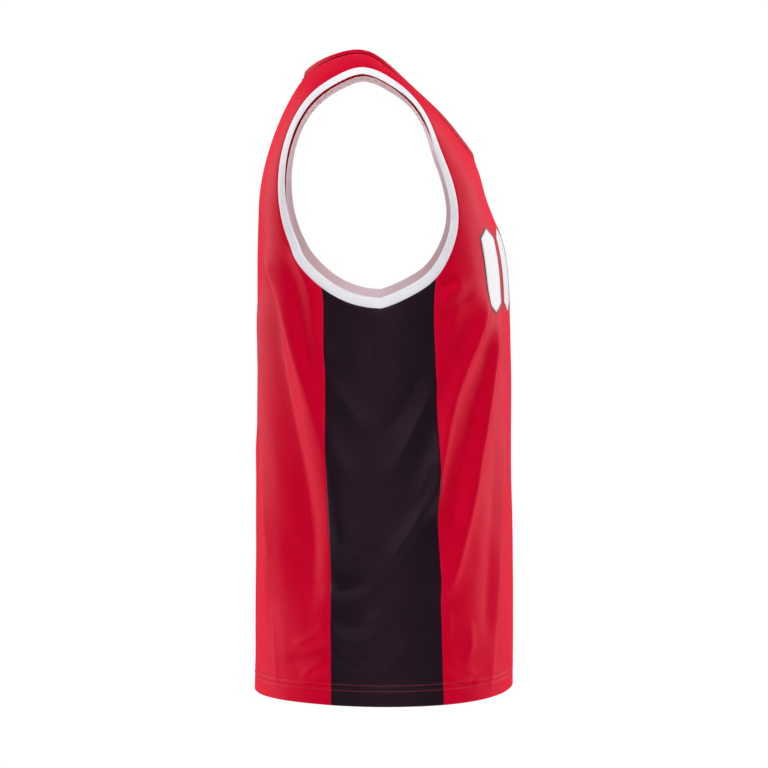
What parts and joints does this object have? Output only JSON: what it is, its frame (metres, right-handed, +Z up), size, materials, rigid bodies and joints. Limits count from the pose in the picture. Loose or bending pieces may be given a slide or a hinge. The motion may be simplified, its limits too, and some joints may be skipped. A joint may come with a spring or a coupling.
{
  "type": "tank top",
  "caption": "Sleeveless athletic tank top filled out as if worn, with a V-neck, contrast side panels and bound armholes.",
  "frame": {"origin": "midway between the two shoulder straps, level with the middle of the shoulder seams, where a wearer's or hanger's shoulders hold the garment", "axes": "+Z up, from the hem to the shoulders; +Y from the front to the back, so the front faces -Y; +X towards the wearer's left"},
  "size_m": [0.3916, 0.2949, 0.7242],
  "materials": {
    "red_knit": "smooth polyester knit with a soft sheen",
    "black_knit": "smooth polyester knit with a soft sheen",
    "white_binding": "folded knit binding, matt",
    "red_neckband": "folded knit band, matt"
  },
  "bodies": {
    "root": {"front_panel": "red_knit", "back_panel": "red_knit", "side_panel_right": "black_knit", "side_panel_left": "black_knit", "armhole_binding_right": "white_binding", "armhole_binding_left": "white_binding", "neckband": "red_neckband"}
  },
  "joints": []
}
